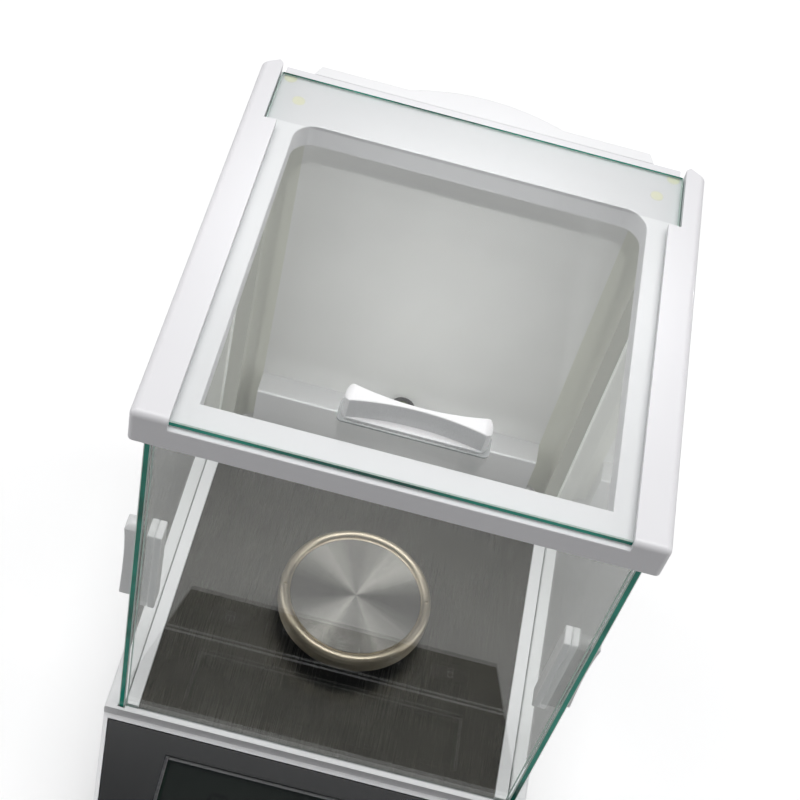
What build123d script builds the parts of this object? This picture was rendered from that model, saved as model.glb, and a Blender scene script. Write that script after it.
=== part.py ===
from build123d import *
import os
from math import atan2, cos, pi, radians, sin, tan

# Analytical balance with a glass draught shield. Millimetres.
# Origin: middle of the footprint, on the bench. +X right, +Y to the rear, +Z up.

# Overall
HALF_WIDTH = 107.5
FRONT_Y = -170.0
REAR_Y = 170.0
RAIL_TOP_Z = 340.0
FIT = 0.05
GAP = 0.3

# Base housing
BASE_BOTTOM_Z = 14.0
CONSOLE_FRONT_Z = 60.5
CONSOLE_FRONT_HALF = 89.0
CHAMBER_FRONT_Y = -70.0
CONSOLE_REAR_Z = 95.0
DECK_TOP_Z = 101.5
BASE_REAR_Y = 164.0
BASE_WALL = 2.5
CONSOLE_WALL = 4.5
DECK_ROUNDING = 1.5
CAVITY_TOP_Z = 96.5
FLOOR_Z = 100.0
FLOOR_HALF = 91.5
FLOOR_SHEET = 1.0
FLOOR_REAR_Y = 116.0

# Console panels, measured down the slope from the chamber front
SLOPE_DROP = CONSOLE_REAR_Z - CONSOLE_FRONT_Z
SLOPE_RUN = CHAMBER_FRONT_Y - FRONT_Y
SLOPE_ANGLE = atan2(SLOPE_DROP, SLOPE_RUN)
PANEL_SHEET = 1.5
PANEL_EDGE = 2.4
SEAM_FROM_REAR = 64.6
SEAM_WIDTH = 2.0
SEAM_DEPTH = 0.3
PANEL_REAR_MARGIN = 2.5
PANEL_LENGTH = 101.0
WINDOW_HALF = 72.0
WINDOW_REAR = 13.0
WINDOW_FRONT = 54.7
KEY_NAMES = ("power", "calibrate", "unit", "print", "tare")
KEY_PITCH = 31.0
KEY_SIZE = (21.0, 12.5)
KEY_FROM_REAR = 84.0
PANEL_CHAMFER = 0.35

# Glass and doors
GLASS = 3.0
DOOR_INNER_X = 98.0
DOOR_FRONT_Y = -67.8
DOOR_REAR_Y = 124.0
GROOVE_CLEARANCE = 0.3
GROOVE_BOTTOM_Z = 88.0
RUNNER_HEIGHT = 1.5
FRONT_GLASS_Y = -67.0
FRONT_GLASS_HALF = 97.4
TOP_GLASS_Z = 334.3
TOP_GLASS_HALF = 97.5
TOP_GLASS_FRONT_Y = -67.6
TOP_GLASS_REAR_Y = 147.5

# Top frame
FRAME_BOTTOM_Z = 322.6
LEDGE_Z = 334.1
LIP_HALF = 92.0
LIP_UNDER_Z = 337.6
LIP_REAR_Y = 110.5
SLOT_HALF = 98.0
RAIL_INNER_REAR_HALF = 97.0
FRAME_REAR_Y = 155.0
RAIL_REAR_Y = 152.0
RAIL_SHOULDER_Y = 147.0
OPENING_HALF = 83.2
OPENING_FRONT_Y = -54.2
OPENING_REAR_Y = 118.0
OPENING_REAR_RADIUS = 11.0
LEDGE_ROUNDING = 0.5

# Bow-tie pulls
PULL_LENGTH = 59.6
PULL_DEPTH = 9.4
PULL_BASE = 1.3
PULL_END_HALF = 4.4
PULL_END_BULGE = 2.4
PULL_WAIST_HALF = 1.0
PULL_HEIGHT = 11.9
PULL_END_ROUNDING = 3.5
PAD_THICKNESS = 0.8
PAD_MARGIN = 1.1
TOP_PULL_Y = -40.9
SIDE_PULL_Y = -32.0
SIDE_PULL_Z = 181.0
INNER_PULL = (3.5, 10.5, 61.0)

# Rear of the chamber
REAR_WALL_Y = 130.0
REAR_WALL_HALF = 79.4
REAR_WALL_SHEET = 2.5
SHELF_Z = 139.5
POST_REAR_Y = 140.0
POST_FRONT_Y = 114.0
POST_OUTER_X = 97.3
POST_COVE = 10.6
COLUMN_HALF = 83.5
COLUMN_REAR_Y = 162.0
COLUMN_WALL = 2.5
VIAL_RADIUS = 7.0
DOT_RADIUS = 3.0
DOT_THICKNESS = 2.0
DOT_FRONT = (86.0, 132.0)
DOT_REAR = (93.0, 146.0)

# Weighing pan and force cell
PAN_X = 0.0
PAN_Y = 18.0
PAN_RADIUS = 40.0
PAN_TOP_Z = 123.0
PAN_FACE_Z = 121.2
PAN_BOTTOM_Z = 112.0
PAN_NOTCH_RADIUS = 37.2
COLLAR_RADIUS = 16.5
CELL_BASE_Z = 20.0
PILLAR_Y = 86.0
GUIDE_FRONT_Y = 27.5
FULCRUM_Y = 46.0
COIL_Y = 122.0
LEVER_Z = (52.0, 58.0)

# Feet
FRONT_FOOT = (82.0, -128.0)
REAR_FOOT = (86.0, 142.0)
FOOT_PAD_RADIUS = 13.0
WHEEL_RADIUS = 14.0
WHEEL_KNURLS = 24
SCREW_RADIUS = 4.0
SCREW_CLEARANCE = 0.05

# Rear connectors: centre along X, then width and height of body, flange and well
CONNECTOR_Z = 48.0
CUTOUT_DEPTH = 6.0
CUTOUT_MARGIN = 0.2
INLET_X = 78.0
INLET_BODY = (28.0, 20.0)
INLET_FLANGE = (35.0, 25.0)
INLET_WELL = (24.0, 16.4)
INLET_DEPTH = 20.0
INLET_WELL_DEPTH = 17.0
SWITCH_X = 50.0
SWITCH_BODY = (15.4, 13.4)
SWITCH_FLANGE = (20.0, 18.0)
SWITCH_WELL = (12.0, 10.0)
ROCKER_TILT = -8.0
ROCKER_AXIS = (SWITCH_X, BASE_REAR_Y - 1.0, CONNECTOR_Z)
ROCKER_PIN_RADIUS = 1.2
SERIAL_X = -70.0
SERIAL_BODY = (24.0, 10.0)
SERIAL_FLANGE = (31.0, 12.0)


def block(x0, x1, y0, y1, z0, z1):
    """Box between two corners."""
    centre = Pos((x0 + x1) / 2, (y0 + y1) / 2, (z0 + z1) / 2)
    return centre * Box(abs(x1 - x0), abs(y1 - y0), abs(z1 - z0))


def disc(x, y, radius, z0, z1):
    """Upright cylinder."""
    return Pos(x, y, (z0 + z1) / 2) * Cylinder(radius, z1 - z0)


def ring(x, y, outer, inner, z0, z1):
    """Upright tube."""
    return disc(x, y, outer, z0, z1) - disc(x, y, inner, z0 - 1, z1 + 1)


def rod_y(x, z, radius, y0, y1):
    """Cylinder along Y."""
    return Pos(x, (y0 + y1) / 2, z) * Rot(90, 0, 0) * Cylinder(radius, y1 - y0)


def outline(*points):
    """Closed flat face through the points, in the XY plane."""
    return make_face(Polyline(*points, close=True))


def prism(face, z0, z1):
    """Flat XY face stood up between two heights."""
    return Pos(0, 0, z0) * extrude(face, z1 - z0)


def side_prism(points, x0, x1):
    """Side profile of (y, z) points carried along X."""
    wire = Polyline(*[(0, y, z) for y, z in points], close=True)
    return Pos(x0, 0, 0) * extrude(make_face(wire), x1 - x0, dir=(1, 0, 0))


def mirrored(shape):
    """The same shape on the other side of the middle plane."""
    return mirror(shape, about=Plane.YZ)


def pair(shape):
    """A shape and its mirror image."""
    return [shape, mirrored(shape)]


def save(name, *shapes):
    """Write one node."""
    solids = [solid for shape in shapes for solid in shape.solids()]
    node = solids[0] if len(solids) == 1 else Compound(children=solids)
    export_step(node, f"parts/{name}.step")


# Console geometry

CONSOLE = Plane(
    origin=(0, CHAMBER_FRONT_Y, CONSOLE_REAR_Z),
    x_dir=(1, 0, 0),
    z_dir=(0, -sin(SLOPE_ANGLE), cos(SLOPE_ANGLE)),
)


def on_console(shape):
    """Carry a shape from console coordinates (x, down-slope = -y, normal) into place."""
    return CONSOLE.location * shape


def console_half(down_slope):
    """Half width of the housing at a distance down the slope."""
    taper = (HALF_WIDTH - CONSOLE_FRONT_HALF) / SLOPE_RUN
    return HALF_WIDTH - taper * down_slope * cos(SLOPE_ANGLE)


def flat_panel(rear, front, thickness, edge):
    """Tapered panel between two distances down the slope, in console coordinates, its top at zero."""
    rear_half = console_half(rear) - edge
    front_half = console_half(front) - edge
    corners = ((-rear_half, -rear), (rear_half, -rear), (front_half, -front), (-front_half, -front))
    return Pos(0, 0, -thickness) * extrude(outline(*corners), thickness)


def softened(panel, size):
    """The panel with every edge of its top face chamfered."""
    return chamfer(panel.faces().sort_by(Axis.Z)[-1].edges(), size)


def key_places():
    """Centre of each key across the console."""
    middle = (len(KEY_NAMES) - 1) / 2
    return [(name, (index - middle) * KEY_PITCH) for index, name in enumerate(KEY_NAMES)]


def key_block(x, margin, low, high):
    """Rounded block at a key's place in console coordinates, grown by a margin."""
    face = Rectangle(KEY_SIZE[0] + 2 * margin, KEY_SIZE[1] + 2 * margin)
    face = fillet(face.vertices(), 2.0 + margin)
    return Pos(x, -KEY_FROM_REAR, low) * extrude(face, high - low)


# Base

def base_plan(inset):
    """Plan of the base: parallel sides behind, tapering console in front."""
    points = (
        (-HALF_WIDTH, BASE_REAR_Y),
        (-HALF_WIDTH, CHAMBER_FRONT_Y),
        (-CONSOLE_FRONT_HALF, FRONT_Y),
        (CONSOLE_FRONT_HALF, FRONT_Y),
        (HALF_WIDTH, CHAMBER_FRONT_Y),
        (HALF_WIDTH, BASE_REAR_Y),
    )
    face = outline(*points)
    front = [corner for corner in face.vertices() if corner.Y < FRONT_Y + 1]
    face = fillet(front, 14.0)
    rear = [corner for corner in face.vertices() if corner.Y > BASE_REAR_Y - 1]
    face = fillet(rear, 8.0)
    return offset(face, -inset) if inset else face


def slope_z(y):
    """Height of the console surface."""
    return CONSOLE_REAR_Z + (y - CHAMBER_FRONT_Y) * tan(SLOPE_ANGLE)


def base_profile(front_inset, slope_inset, deck_z, bottom_z):
    """Side profile of the base as (y, z) points, with a softened nose."""
    lift = slope_inset / cos(SLOPE_ANGLE)
    nose_y = FRONT_Y + front_inset
    nose = [(nose_y, -6.0), (nose_y + 0.5, -3.8), (nose_y + 1.8, -1.9), (nose_y + 3.8, -0.7), (nose_y + 6.5, 0)]
    rear = BASE_REAR_Y + 5
    points = [(rear, bottom_z), (nose_y, bottom_z)]
    points += [(y, slope_z(y) + drop - lift) for y, drop in nose]
    points += [(CHAMBER_FRONT_Y, CONSOLE_REAR_Z - lift), (CHAMBER_FRONT_Y, deck_z), (rear, deck_z)]
    return points


def screw_places():
    """Housing screws, seen from below."""
    right = ((98.0, -50.0), (98.0, 60.0), (98.0, 150.0), (60.0, -160.5))
    return [(side * x, y) for x, y in right for side in (-1, 1)]


def on_deck_rim(edge):
    """Whether an edge is at the side of the chamber deck."""
    middle = edge.center()
    return abs(middle.Z - DECK_TOP_Z) < 0.01 and abs(middle.X) > HALF_WIDTH - 0.1


def base_shell():
    """Hollow shell with door ribs, front glass rib and screw bosses."""
    outer = prism(base_plan(0), BASE_BOTTOM_Z, 130) & side_prism(
        base_profile(0, 0, DECK_TOP_Z, BASE_BOTTOM_Z), -120, 120)
    outer = fillet([edge for edge in outer.edges() if on_deck_rim(edge)], DECK_ROUNDING)
    inner = prism(base_plan(BASE_WALL), BASE_BOTTOM_Z - 5, 130) & side_prism(
        base_profile(BASE_WALL, CONSOLE_WALL, CAVITY_TOP_Z, BASE_BOTTOM_Z - 5), -120, 120)
    shell = outer - inner
    rib_bottom = GROOVE_BOTTOM_Z - 4
    ribs = block(FLOOR_HALF, 120, CHAMBER_FRONT_Y, BASE_REAR_Y, rib_bottom, DECK_TOP_Z)
    cross = block(-120, 120, CHAMBER_FRONT_Y, CHAMBER_FRONT_Y + 10, rib_bottom, DECK_TOP_Z)
    shell += (ribs & outer) + (mirrored(ribs) & outer) + (cross & outer)
    for x, y in screw_places():
        boss = disc(x, y, 5.0, BASE_BOTTOM_Z + 3.4, 120) & outer
        if y > CHAMBER_FRONT_Y:
            boss = disc(x, y, 5.0, BASE_BOTTOM_Z + 3.4, rib_bottom + 1)
        shell += boss
    return shell


def base_housing():
    """Upper housing with every pocket, groove, window and rear cut-out."""
    body = base_shell()
    groove = block(DOOR_INNER_X - GROOVE_CLEARANCE, DOOR_INNER_X + GLASS + GROOVE_CLEARANCE,
                   CHAMBER_FRONT_Y + 1.5, BASE_REAR_Y + 5, GROOVE_BOTTOM_Z, DECK_TOP_Z + 5)
    body -= groove + mirrored(groove)
    glass_slot = block(-FRONT_GLASS_HALF - 0.2, FRONT_GLASS_HALF + 0.2, FRONT_GLASS_Y - 0.2,
                       FRONT_GLASS_Y + GLASS + 0.2, GROOVE_BOTTOM_Z + 4, DECK_TOP_Z + 5)
    body -= glass_slot
    body -= block(-FLOOR_HALF, FLOOR_HALF, FRONT_GLASS_Y + GLASS + 0.2, FLOOR_REAR_Y,
                  FLOOR_Z - FLOOR_SHEET, DECK_TOP_Z + 5)
    body -= disc(PAN_X, PAN_Y, COLLAR_RADIUS + FIT, CAVITY_TOP_Z - 5, DECK_TOP_Z)
    recess = flat_panel(PANEL_REAR_MARGIN - 0.2, PANEL_LENGTH + 0.2, PANEL_SHEET + 5, PANEL_EDGE - 0.2)
    seam = Pos(0, -SEAM_FROM_REAR, 0) * Box(2 * HALF_WIDTH, SEAM_WIDTH - 0.6, 2 * SEAM_DEPTH)
    body -= on_console(Pos(0, 0, 5) * recess) - on_console(Pos(0, 0, -2 * SEAM_DEPTH) * seam)
    body -= on_console(window_block(-3, -10, 10))
    for _, x in key_places():
        body -= on_console(key_block(x, GAP, -10, 5))
    for x, y in screw_places():
        body -= disc(x, y, 1.55, 0, 41)
    for x, size in ((INLET_X, INLET_BODY), (SWITCH_X, SWITCH_BODY), (SERIAL_X, SERIAL_BODY)):
        body -= rear_block(x, size, -CUTOUT_DEPTH, 5, CUTOUT_MARGIN)
    return body


def rear_block(x, size, y0, y1, margin=0.0, radius=0.0):
    """Block centred on a connector, between two distances behind the back of the base."""
    face = Rectangle(size[0] + 2 * margin, size[1] + 2 * margin)
    if radius:
        face = fillet(face.vertices(), radius)
    return Pos(x, BASE_REAR_Y + y1, CONNECTOR_Z) * Rot(90, 0, 0) * extrude(face, y1 - y0)


def base_plate():
    """Cast aluminium bottom plate with foot bosses and cell bosses."""
    plate = prism(base_plan(BASE_WALL + GAP), BASE_BOTTOM_Z, BASE_BOTTOM_Z + 3)
    for side in (-1, 1):
        for x, y in (FRONT_FOOT, REAR_FOOT):
            plate += disc(side * x, y, 9.0, BASE_BOTTOM_Z, BASE_BOTTOM_Z + 12)
    for x, y in cell_screw_places():
        plate += disc(x, y, 6.0, BASE_BOTTOM_Z, CELL_BASE_Z)
    for side in (-1, 1):
        plate -= disc(side * FRONT_FOOT[0], FRONT_FOOT[1], 6.0 + FIT, 0, 60)
        plate -= disc(side * REAR_FOOT[0], REAR_FOOT[1], 3.0, 0, 60)
    for x, y in screw_places():
        plate -= disc(x, y, 1.8, 0, 60)
        plate -= disc(x, y, 3.4, 0, BASE_BOTTOM_Z + 1.8)
    for x, y in cell_screw_places():
        plate -= disc(x, y, 1.55, 0, 60)
    return plate


def cell_screw_places():
    """Screws that hold the force cell down."""
    return [(side * 38.0, y) for side in (-1, 1) for y in (0.0, 146.0)]


def cap_screw(x, y, head_z, shank_end_z, head_radius, shank_radius):
    """Upright cap screw; the head lies between head_z and head_z plus or minus its height."""
    height = 1.8 if shank_end_z > head_z else -3.0
    head = disc(x, y, head_radius, min(head_z, head_z + height), max(head_z, head_z + height))
    socket_z = head_z + (0.6 if height > 0 else -0.9)
    socket = prism(Pos(x, y) * RegularPolygon(head_radius * 0.5, 6), min(head_z, socket_z) - 0.01,
                   max(head_z, socket_z) + 0.01)
    shank = disc(x, y, shank_radius, min(head_z, shank_end_z), max(head_z, shank_end_z))
    return (head + shank) - socket


def fasteners():
    """Housing screws, force cell screws and top frame screws."""
    screws = [cap_screw(x, y, BASE_BOTTOM_Z, 38, 3.2, 1.5) for x, y in screw_places()]
    screws += [cap_screw(x, y, CELL_BASE_Z + 7.0, BASE_BOTTOM_Z + 0.5, 3.0, 1.5)
               for x, y in cell_screw_places()]
    frame_head_z = LEDGE_Z - DOT_THICKNESS - 0.2
    screws += [cap_screw(side * DOT_FRONT[0], DOT_FRONT[1], frame_head_z, 304, 2.8, 1.5)
               for side in (-1, 1)]
    return screws


def window_block(growth, low, high):
    """Block the size of the display window plus growth, in console coordinates."""
    middle = (WINDOW_REAR + WINDOW_FRONT) / 2
    size = (2 * WINDOW_HALF + growth, WINDOW_FRONT - WINDOW_REAR + growth)
    return Pos(0, -middle, (low + high) / 2) * Box(*size, high - low)


def display_panel():
    """Rear console panel with the display opening."""
    panel = flat_panel(PANEL_REAR_MARGIN, SEAM_FROM_REAR - SEAM_WIDTH / 2, PANEL_SHEET, PANEL_EDGE)
    return on_console(softened(panel - window_block(0, -5, 5), PANEL_CHAMFER))


def key_panel():
    """Front console panel with the key openings."""
    panel = flat_panel(SEAM_FROM_REAR + SEAM_WIDTH / 2, PANEL_LENGTH, PANEL_SHEET, PANEL_EDGE)
    for _, x in key_places():
        panel -= key_block(x, GAP, -10, 5)
    return on_console(softened(panel, PANEL_CHAMFER))


def display_window():
    """Clear window let into the display panel."""
    return on_console(window_block(-0.2, -PANEL_SHEET, -0.1))


def lcd_module():
    """Display glass in its frame, behind the window."""
    middle = (WINDOW_REAR + WINDOW_FRONT) / 2
    frame = Pos(0, -middle, -7.0) * Box(138, 38, 4.4)
    frame += Pos(0, -middle, -4.4) * Box(124, 28, 1.6)
    return on_console(frame)


def display_board():
    """Circuit board behind the display, with the key switches on it."""
    board = Pos(0, -50, -10.6) * Box(150, 78, 1.6)
    for _, x in key_places():
        board += Pos(x, -KEY_FROM_REAR, -9.3) * Box(6, 6, 1.2)
        board += Pos(x, -KEY_FROM_REAR, -8.4) * Cylinder(1.6, 0.8)
    return on_console(board)


def key(x):
    """Key cap with its retaining flange and stem."""
    cap = key_block(x, 0, -6.0, 0.8)
    cap = fillet(cap.edges().group_by(Axis.Z)[-1], 0.5)
    flange = key_block(x, 1.2, -6.0, -CONSOLE_WALL - 0.15)
    stem = Pos(x, -KEY_FROM_REAR, -6.3) * Cylinder(1.2, 0.8)
    return on_console(cap + flange + stem)


def main_board():
    """Circuit board with its larger components."""
    board = block(-91, -52, -30, 118, 26, 27.6)
    for y, length, width, height in ((-10, 16, 16, 3), (25, 22, 14, 3), (62, 12, 12, 9), (92, 20, 10, 12)):
        board += block(-76 - width / 2, -76 + width / 2, y - length / 2, y + length / 2, 27.6, 27.6 + height)
    board += block(-60, -55, -20, 30, 27.6, 36)
    for x in (-87, -56):
        for y in (-26, 110):
            board += disc(x, y, 3.0, BASE_BOTTOM_Z + 3, 26)
    return board


def transformer():
    """Laminated core with its winding."""
    x0, x1, y0, z0 = 52, 86, 60, 20
    core = block(x0, x1, y0, y0 + 44, z0, z0 + 36)
    winding = block(x0 - 4, x1 + 4, y0 + 8, y0 + 36, z0 + 8, z0 + 28)
    feet = block(x0, x1, y0 - 8, y0 + 52, BASE_BOTTOM_Z + 3, z0)
    return core + winding + feet


def ribbon_cable():
    """Flat cable from the display board to the main board."""
    points = ((-118.0, 52.0), (-112.0, 40.0), (-60.0, 36.4), (-14.0, 36.4))
    thickness = 0.8
    upper = [(y, z + thickness) for y, z in reversed(points)]
    return side_prism(list(points) + upper, -59.5, -55.5)


def mains_inlet():
    """Appliance inlet: a hollow rectangular shell with a flange."""
    body = rear_block(INLET_X, INLET_BODY, -INLET_DEPTH, 0) + rear_block(INLET_X, INLET_FLANGE, 0, 2.0, radius=3.0)
    return body - rear_block(INLET_X, INLET_WELL, -INLET_WELL_DEPTH, 5)


def inlet_blades():
    """Three blades of the appliance inlet."""
    y0 = BASE_REAR_Y - INLET_WELL_DEPTH
    places = ((INLET_X - 7, CONNECTOR_Z - 3.4), (INLET_X + 7, CONNECTOR_Z - 3.4), (INLET_X, CONNECTOR_Z + 4.0))
    return [block(x - 1, x + 1, y0, y0 + 14, z - 2, z + 2) for x, z in places]


def serial_port():
    """Nine-way socket on a flange."""
    y0 = BASE_REAR_Y
    face = outline((-8.6, 4.0), (8.6, 4.0), (7.2, -4.0), (-7.2, -4.0))
    shell = Pos(SERIAL_X, y0 + 5.8, CONNECTOR_Z) * Rot(90, 0, 0) * extrude(fillet(face.vertices(), 1.5), 9)
    port = rear_block(SERIAL_X, SERIAL_FLANGE, 0, 1.4, radius=1.0) + shell
    port += rear_block(SERIAL_X, SERIAL_BODY, -10, 0)
    for row_z, count in ((CONNECTOR_Z + 1.4, 5), (CONNECTOR_Z - 1.4, 4)):
        for index in range(count):
            x = SERIAL_X + (index - (count - 1) / 2) * 2.7
            port -= rod_y(x, row_z, 0.6, y0 + 1, y0 + 8)
    for side in (-1, 1):
        nut = Pos(SERIAL_X + side * 12.5, y0 + 4.6, CONNECTOR_Z) * Rot(90, 0, 0)
        port += nut * extrude(RegularPolygon(2.3, 6), 4)
    return port


def switch_housing():
    """Frame of the power rocker, with the bearing hole of the rocker's pin."""
    body = rear_block(SWITCH_X, SWITCH_BODY, -16, 0) + rear_block(SWITCH_X, SWITCH_FLANGE, 0, 1.6, radius=2.0)
    return body - rear_block(SWITCH_X, SWITCH_WELL, -12, 5) - rocker_pin(ROCKER_PIN_RADIUS + FIT, 14.6)


def rocker_pin(radius, length):
    """Level pin on the rocker's axis."""
    return Pos(*ROCKER_AXIS) * Rot(0, 90, 0) * Cylinder(radius, length)


def switch_rocker():
    """Rocker of the power switch, rocking about a level axis."""
    profile = ((-3.0, -4.4), (3.6, -4.4), (1.8, 0.0), (3.6, 4.4), (-3.0, 4.4))
    rocker = Rot(ROCKER_TILT, 0, 0) * side_prism(profile, -5.6, 5.6)
    return Pos(*ROCKER_AXIS) * rocker + rocker_pin(ROCKER_PIN_RADIUS, 14.0)


# Feet

def foot_pad(side):
    """Rubber pad under a levelling screw."""
    x, y = side * FRONT_FOOT[0], FRONT_FOOT[1]
    pad = disc(x, y, FOOT_PAD_RADIUS, 0, 5)
    pad = fillet(pad.edges().filter_by(GeomType.CIRCLE), 1.0)
    return pad - disc(x, y, SCREW_RADIUS + SCREW_CLEARANCE, 2, 6)


def foot_screw(side):
    """Levelling screw with its knurled thumbwheel."""
    x, y = side * FRONT_FOOT[0], FRONT_FOOT[1]
    wheel = disc(x, y, WHEEL_RADIUS, 5.3, 10.3)
    for index in range(WHEEL_KNURLS):
        angle = 2 * pi * index / WHEEL_KNURLS
        wheel -= disc(x + (WHEEL_RADIUS + 0.4) * cos(angle), y + (WHEEL_RADIUS + 0.4) * sin(angle), 1.0, 5, 11)
    return wheel + disc(x, y, SCREW_RADIUS, 2.2, 34)


def foot_inserts():
    """Brass threaded inserts in the bottom plate."""
    x, y = FRONT_FOOT
    insert = ring(x, y, 6.0, SCREW_RADIUS + SCREW_CLEARANCE, BASE_BOTTOM_Z, BASE_BOTTOM_Z + 12)
    return pair(insert)


def rear_feet():
    """Fixed rubber feet, each with its stem pushed into the bottom plate."""
    x, y = REAR_FOOT
    foot = disc(x, y, 13.0, 0, BASE_BOTTOM_Z)
    foot = fillet(foot.edges().filter_by(GeomType.CIRCLE), 1.2)
    return pair(foot + disc(x, y, 2.9, BASE_BOTTOM_Z - 1, BASE_BOTTOM_Z + 10))


# Force cell

def cell_frame():
    """Cast frame: foot plate, guide pillar, lever window, fulcrum bracket and its spring strips."""
    z0 = CELL_BASE_Z
    frame = block(-44, 44, -8, 158, z0, z0 + 4)
    frame += block(-28, 28, PILLAR_Y, PILLAR_Y + 12, z0, 82)
    frame -= block(-9, 9, PILLAR_Y - 1, PILLAR_Y + 13, 47, 63)
    frame += block(-11, 11, 40, PILLAR_Y, 64, 69.5)
    frame += disc(PAN_X, PAN_Y, 3.0, z0, 33.2)
    for x, y in cell_screw_places():
        frame -= disc(x, y, 1.7, 0, 60)
    for x in (-7.8, 7.8):
        frame += block(x - 0.3, x + 0.3, FULCRUM_Y - 4, FULCRUM_Y + 4, 52, 65)
    return frame


def guide_arm(z0):
    """Triangular parallel guide arm."""
    rear_half = 26.0
    front_half = 9.0
    face = outline((-rear_half, PILLAR_Y - 0.6), (rear_half, PILLAR_Y - 0.6),
                   (front_half, GUIDE_FRONT_Y), (-front_half, GUIDE_FRONT_Y))
    window = outline((-12, PILLAR_Y - 14), (12, PILLAR_Y - 14), (5, GUIDE_FRONT_Y + 12), (-5, GUIDE_FRONT_Y + 12))
    arm = prism(face, z0, z0 + 3) - prism(window, z0 - 1, z0 + 4)
    for y in (PILLAR_Y - 4, GUIDE_FRONT_Y + 3):
        arm -= Pos(0, y, z0 + 3) * Rot(0, 90, 0) * Cylinder(1.2, 80)
    return arm


def load_carrier():
    """Hanger with the pan cone on top."""
    carrier = block(-9, 9, PAN_Y - 7, PAN_Y + 8, 34, 80)
    carrier -= block(-9.1, 9.1, PAN_Y - 2, PAN_Y + 9, 44, 68)
    carrier += disc(PAN_X, PAN_Y, 5.0, 80, 106)
    cone = Pos(PAN_X, PAN_Y, 109) * Cone(5.0, 2.5, 6)
    return carrier + cone


def balance_lever():
    """Unequal-arm lever with the coil bobbin and the position vane at its end."""
    z0, z1 = LEVER_Z
    beam = block(-5, 5, 22, 106, z0, z1)
    beam += disc(0, COIL_Y, 16.5, z0, z1 - 2) + block(-5, 5, 100, 108, z0, z1)
    beam += block(-3.5, 3.5, 136, 151, 54.6, 55.4)
    beam += ring(0, COIL_Y, 15.0, 14.2, 36, z0 + 1)
    for y in (62, 74, 98):
        beam -= disc(0, y, 2.6, z0 - 1, z1 + 1)
    return beam


def magnet_pot():
    """Iron pot of the force motor."""
    pot = disc(0, COIL_Y, 23.5, CELL_BASE_Z + 4, 48)
    return pot - disc(0, COIL_Y, 18.6, CELL_BASE_Z + 9, 50)


def magnet():
    """Magnet with its pole cap in the middle of the pot."""
    return disc(0, COIL_Y, 12.2, CELL_BASE_Z + 9, 41) + disc(0, COIL_Y, 12.8, 41, 46)


def coil_winding():
    """Copper winding on the bobbin under the lever end."""
    return ring(0, COIL_Y, 17.0, 15.0 + FIT, 37, 47)


def position_sensor():
    """Forked light barrier around the vane."""
    fork = block(-7, 7, 146.3, 155, CELL_BASE_Z + 4, 66)
    return fork - block(-8, 8, 140, 152.5, 50.5, 59.5)


def cell_cover():
    """Sheet metal shield over the force cell."""
    cover = block(-42, 42, -5, 157, CELL_BASE_Z + 4, 90) - block(-41, 41, -4, 156, 0, 89)
    cover -= disc(PAN_X, PAN_Y, 8.0, 80, 95)
    for x, y in cell_screw_places():
        cover -= disc(x, y, 4.5, 20, 30)
    return cover


# Pan

def weighing_pan():
    """Turned pan: dished cap with a raised rounded rim and two small notches."""
    crest = ((39.7, 120.3), (37.6, PAN_TOP_Z), (35.3, 121.0))
    profile = Polyline(
        (0, 117.2), (10, 117.2), (35.0, 119.2), (37.2, PAN_BOTTOM_Z), (39.2, PAN_BOTTOM_Z),
        (PAN_RADIUS, PAN_BOTTOM_Z + 0.8), (PAN_RADIUS, 119.0), crest[0],
    )
    rim = ThreePointArc(*crest)
    top = Polyline(crest[2], (34.7, 120.7), (34.1, PAN_FACE_Z), (0, PAN_FACE_Z), (0, 117.2))
    wire = Wire([*profile.edges(), *rim.edges(), *top.edges()])
    section = Plane.XZ.location * make_face(wire)
    pan = Pos(PAN_X, PAN_Y, 0) * revolve(section, Axis.Z)
    for side in (-1, 1):
        angle = radians(8.0)
        x = PAN_X + side * PAN_NOTCH_RADIUS * cos(angle)
        y = PAN_Y + side * PAN_NOTCH_RADIUS * sin(angle)
        pan -= Pos(x, y, PAN_TOP_Z) * Sphere(1.1)
    return pan


def pan_hub():
    """Conical socket that centres the pan on the carrier."""
    hub = disc(PAN_X, PAN_Y, 9.5, 107.0, 117.2)
    bore = Pos(PAN_X, PAN_Y, 109 + FIT) * Cone(5.0 + FIT, 2.5 + FIT, 6.0 + 2 * FIT)
    return hub - bore - disc(PAN_X, PAN_Y, 5.0 + FIT, 104, 106.2)


def spill_collar():
    """Low collar round the hole in the chamber floor."""
    collar = ring(PAN_X, PAN_Y, COLLAR_RADIUS, 11.0, CAVITY_TOP_Z, 105.0)
    return collar + ring(PAN_X, PAN_Y, 19.5, 11.0, FLOOR_Z, FLOOR_Z + 1.2)


# Chamber

def chamber_floor():
    """Brushed steel floor plate."""
    front = FRONT_GLASS_Y + GLASS + 0.4
    plate = block(-FLOOR_HALF + 0.2, FLOOR_HALF - 0.2, front, FLOOR_REAR_Y - 0.2, FLOOR_Z - FLOOR_SHEET, FLOOR_Z)
    return plate - disc(PAN_X, PAN_Y, COLLAR_RADIUS + FIT, 90, 110)


def front_glass():
    """Fixed front pane."""
    return block(-FRONT_GLASS_HALF, FRONT_GLASS_HALF, FRONT_GLASS_Y, FRONT_GLASS_Y + GLASS,
                 GROOVE_BOTTOM_Z + 4.2, FRAME_BOTTOM_Z + 5.2)


def door_glass(side):
    """Sliding side pane."""
    pane = block(DOOR_INNER_X, DOOR_INNER_X + GLASS, DOOR_FRONT_Y, DOOR_REAR_Y,
                 GROOVE_BOTTOM_Z + RUNNER_HEIGHT + 0.2, FRAME_BOTTOM_Z + 6.0)
    pane = chamfer(pane.edges().filter_by(Axis.Z), 0.4)
    return pane if side > 0 else mirrored(pane)


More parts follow.
